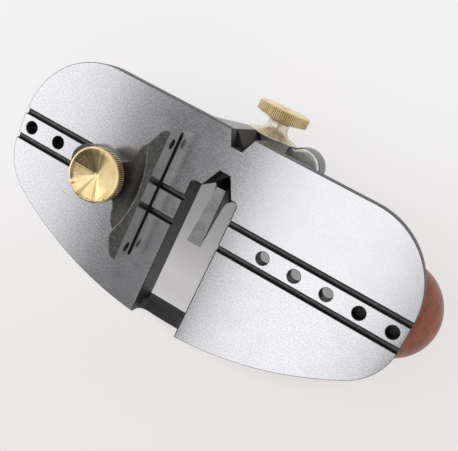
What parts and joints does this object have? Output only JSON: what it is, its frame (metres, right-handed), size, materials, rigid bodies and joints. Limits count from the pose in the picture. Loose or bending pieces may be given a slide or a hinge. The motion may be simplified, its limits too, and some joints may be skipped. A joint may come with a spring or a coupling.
{
  "type": "router plane",
  "caption": "Open-throat hand router plane with turned wooden knobs, brass clamp screw, depth adjuster and a sliding fence, lying sole up.",
  "frame": {"origin": "Middle of the footprint, on the surface that the tool lies on", "axes": "+X runs along the row of holes to the end away from the fence, +Y points to the straight rear edge and the clamp knob, +Z stands out of the sole"},
  "size_m": [0.2164, 0.1084, 0.083],
  "materials": {
    "casting": "ground sole with a fine sparkle, black enamel on the rest",
    "fence_iron": "dark cast surface with a ground face",
    "wood": "oiled reddish hardwood, turned",
    "brass": "turned and knurled brass",
    "steel": "ground steel",
    "tool_steel": "hardened steel, ground under the foot"
  },
  "bodies": {
    "casting": {"body_casting": "casting", "left_knob": "wood", "right_knob": "wood", "left_knob_screw": "brass", "right_knob_screw": "brass", "left_knob_washer": "brass", "right_knob_washer": "brass", "adjuster_rod": "steel", "adjuster_lock_nut": "steel"},
    "depth_slide": {"clamp_collar": "steel", "cutter": "tool_steel", "cutter_key": "steel"},
    "adjuster": {"adjuster_nut": "brass", "adjuster_ring": "steel"},
    "pad_slide": {"clamp_pad": "brass"},
    "clamp_screw": {"clamp_stud": "steel", "clamp_knob": "brass"},
    "fence_slide": {"fence": "fence_iron"},
    "washer_slide": {"fence_washer": "steel"},
    "fence_screw": {"fence_stud": "steel", "fence_knob": "brass"}
  },
  "joints": [
    {"name": "adjuster_turn", "type": "hinge", "parent": "depth_slide", "child": "adjuster", "pos_m": [0.02, 0.02875, 0.01], "axis": [0, 0, -1], "range_deg": [0, 2701]},
    {"name": "depth_travel", "type": "slide", "parent": "casting", "child": "depth_slide", "axis": [0, 0, -1], "range_m": [0, 0.0075]},
    {"name": "clamp_turn", "type": "hinge", "parent": "pad_slide", "child": "clamp_screw", "pos_m": [0.0008, 0.045, 0.0206], "axis": [0, 1, 0], "range_deg": [0, 721]},
    {"name": "clamp_travel", "type": "slide", "parent": "depth_slide", "child": "pad_slide", "axis": [0, 1, 0], "range_m": [0, 0.002]},
    {"name": "fence_travel", "type": "slide", "parent": "casting", "child": "fence_slide", "axis": [1, 0, 0], "range_m": [0, 0.01]},
    {"name": "fence_screw_turn", "type": "hinge", "parent": "washer_slide", "child": "fence_screw", "pos_m": [-0.046, -0.00285, 0.075], "axis": [0, 0, 1], "range_deg": [0, 721]},
    {"name": "fence_screw_lift", "type": "slide", "parent": "casting", "child": "washer_slide", "axis": [0, 0, 1], "range_m": [0, 0.002]}
  ],
  "couplings": [
    {"joint": "adjuster_turn", "follows": "depth_travel", "rad_per_m": 6283.2},
    {"joint": "clamp_turn", "follows": "clamp_travel", "rad_per_m": 6283.2},
    {"joint": "fence_screw_turn", "follows": "fence_screw_lift", "rad_per_m": 6283.2}
  ]
}
